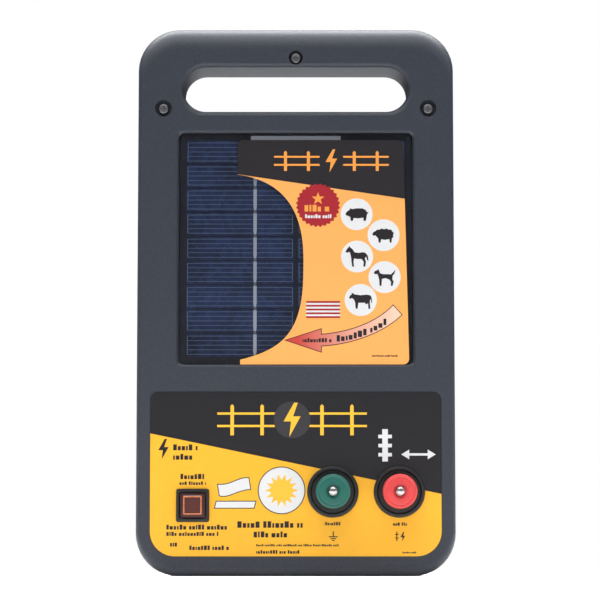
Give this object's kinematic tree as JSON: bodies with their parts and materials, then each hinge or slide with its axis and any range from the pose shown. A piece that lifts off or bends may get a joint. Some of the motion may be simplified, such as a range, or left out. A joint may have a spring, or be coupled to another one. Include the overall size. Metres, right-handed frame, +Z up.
{
  "type": "fence energizer",
  "caption": "Solar fence energizer: a flat dark case with a carry handle, solar panel, printed label, status lamp, red and green terminal knobs, and a turning post socket underneath.",
  "frame": {"origin": "centre of the whole part's footprint, at the underside of the case", "axes": "+X to the right seen from the front, +Y from the front face to the back, +Z up"},
  "size_m": [0.218, 0.1316, 0.3775],
  "materials": {
    "shell_plastic": "fine moulded texture",
    "black_plastic": "moulded",
    "rubber": "matt",
    "glass": "clear",
    "solar_cell": "blue multicrystalline silicon",
    "solder_ribbon": "tinned",
    "backsheet": "black sheet",
    "label_print": "printed film, black over yellow",
    "film_print": "printed film, orange",
    "green_knob": "moulded",
    "red_knob": "moulded",
    "steel": "zinc plated",
    "brass": "bare",
    "lamp_lens": "red-orange translucent",
    "battery_case": "moulded",
    "circuit_board": "green solder mask",
    "copper_winding": "enamelled copper wire",
    "core_iron": "laminated",
    "component": "sleeved",
    "red_insulation": "PVC",
    "black_insulation": "PVC",
    "plate_print": "printed label"
  },
  "bodies": {
    "case": {"front_shell": "shell_plastic", "rear_shell": "shell_plastic", "case_seal": "rubber", "rating_plate": "plate_print", "solar_glass": "glass", "solar_backsheet": "backsheet", "solar_seal": "rubber", "solar_cells_left": "solar_cell", "solar_cells_right": "solar_cell", "solar_link_ribbon": "solder_ribbon", "panel_film": "film_print", "front_label": "label_print", "lamp_bezel": "black_plastic", "lamp_lens": "lamp_lens", "lamp_led": "lamp_lens", "ground_collar": "black_plastic", "ground_stud": "steel", "ground_lug": "brass", "ground_nut": "steel", "fence_collar": "black_plastic", "fence_stud": "steel", "fence_lug": "brass", "fence_nut": "steel", "sleeve_retainer": "black_plastic", "lock_insert": "brass", "battery": "battery_case", "battery_tab_positive": "brass", "battery_tab_negative": "brass", "battery_door": "shell_plastic", "door_seal": "rubber", "circuit_board": "circuit_board", "transformer_core": "core_iron", "transformer_coil": "copper_winding", "storage_capacitor": "component", "discharge_thyristor": "component", "control_chip": "black_plastic", "switch_frame": "black_plastic", "handle_screw_top": "steel", "handle_screw_left": "steel", "handle_screw_right": "steel", "case_screw_lower_left": "steel", "case_screw_lower_right": "steel", "case_screw_upper_left": "steel", "case_screw_upper_right": "steel", "door_screw_left": "steel", "door_screw_right": "steel", "board_screw": "steel", "battery_lead_positive": "red_insulation", "battery_lead_negative": "black_insulation", "solar_lead": "black_insulation", "ground_lead": "black_insulation", "fence_lead": "red_insulation"},
    "post_sleeve": {"post_sleeve": "black_plastic"},
    "ground_washer": {"ground_washer": "steel"},
    "ground_knob": {"ground_knob": "green_knob"},
    "fence_washer": {"fence_washer": "steel"},
    "fence_knob": {"fence_knob": "red_knob"},
    "lock_pad": {"lock_pad": "black_plastic"},
    "lock_knob": {"lock_knob": "black_plastic"},
    "power_rocker": {"power_rocker": "black_plastic"}
  },
  "joints": [
    {"name": "post_swivel", "type": "hinge", "parent": "case", "child": "post_sleeve", "pos_m": [0, 0.01418, 0.06], "axis": [0, 0, 1], "continuous": true},
    {"name": "ground_travel", "type": "slide", "parent": "case", "child": "ground_washer", "axis": [0, -1, 0], "range_m": [0, 0.00401]},
    {"name": "ground_spin", "type": "hinge", "parent": "ground_washer", "child": "ground_knob", "pos_m": [0.0252, -0.0538, 0.057], "axis": [0, -1, 0], "range_deg": [0, 1440]},
    {"name": "fence_travel", "type": "slide", "parent": "case", "child": "fence_washer", "axis": [0, -1, 0], "range_m": [0, 0.00401]},
    {"name": "fence_spin", "type": "hinge", "parent": "fence_washer", "child": "fence_knob", "pos_m": [0.0704, -0.0538, 0.057], "axis": [0, -1, 0], "range_deg": [0, 1440]},
    {"name": "lock_travel", "type": "slide", "parent": "case", "child": "lock_pad", "axis": [0, 1, 0], "range_m": [0, 0.00301]},
    {"name": "lock_spin", "type": "hinge", "parent": "lock_pad", "child": "lock_knob", "pos_m": [0, 0.0562, 0.072], "axis": [0, 1, 0], "range_deg": [0, 1080]},
    {"name": "rocker_tilt", "type": "hinge", "parent": "case", "child": "power_rocker", "pos_m": [0.07, 0.0462, 0.172], "axis": [1, 0, 0], "range_deg": [0, 24]}
  ],
  "couplings": [
    {"joint": "ground_travel", "follows": "ground_spin", "m_per_rad": 0.00015915},
    {"joint": "fence_travel", "follows": "fence_spin", "m_per_rad": 0.00015915},
    {"joint": "lock_travel", "follows": "lock_spin", "m_per_rad": 0.00015915}
  ]
}
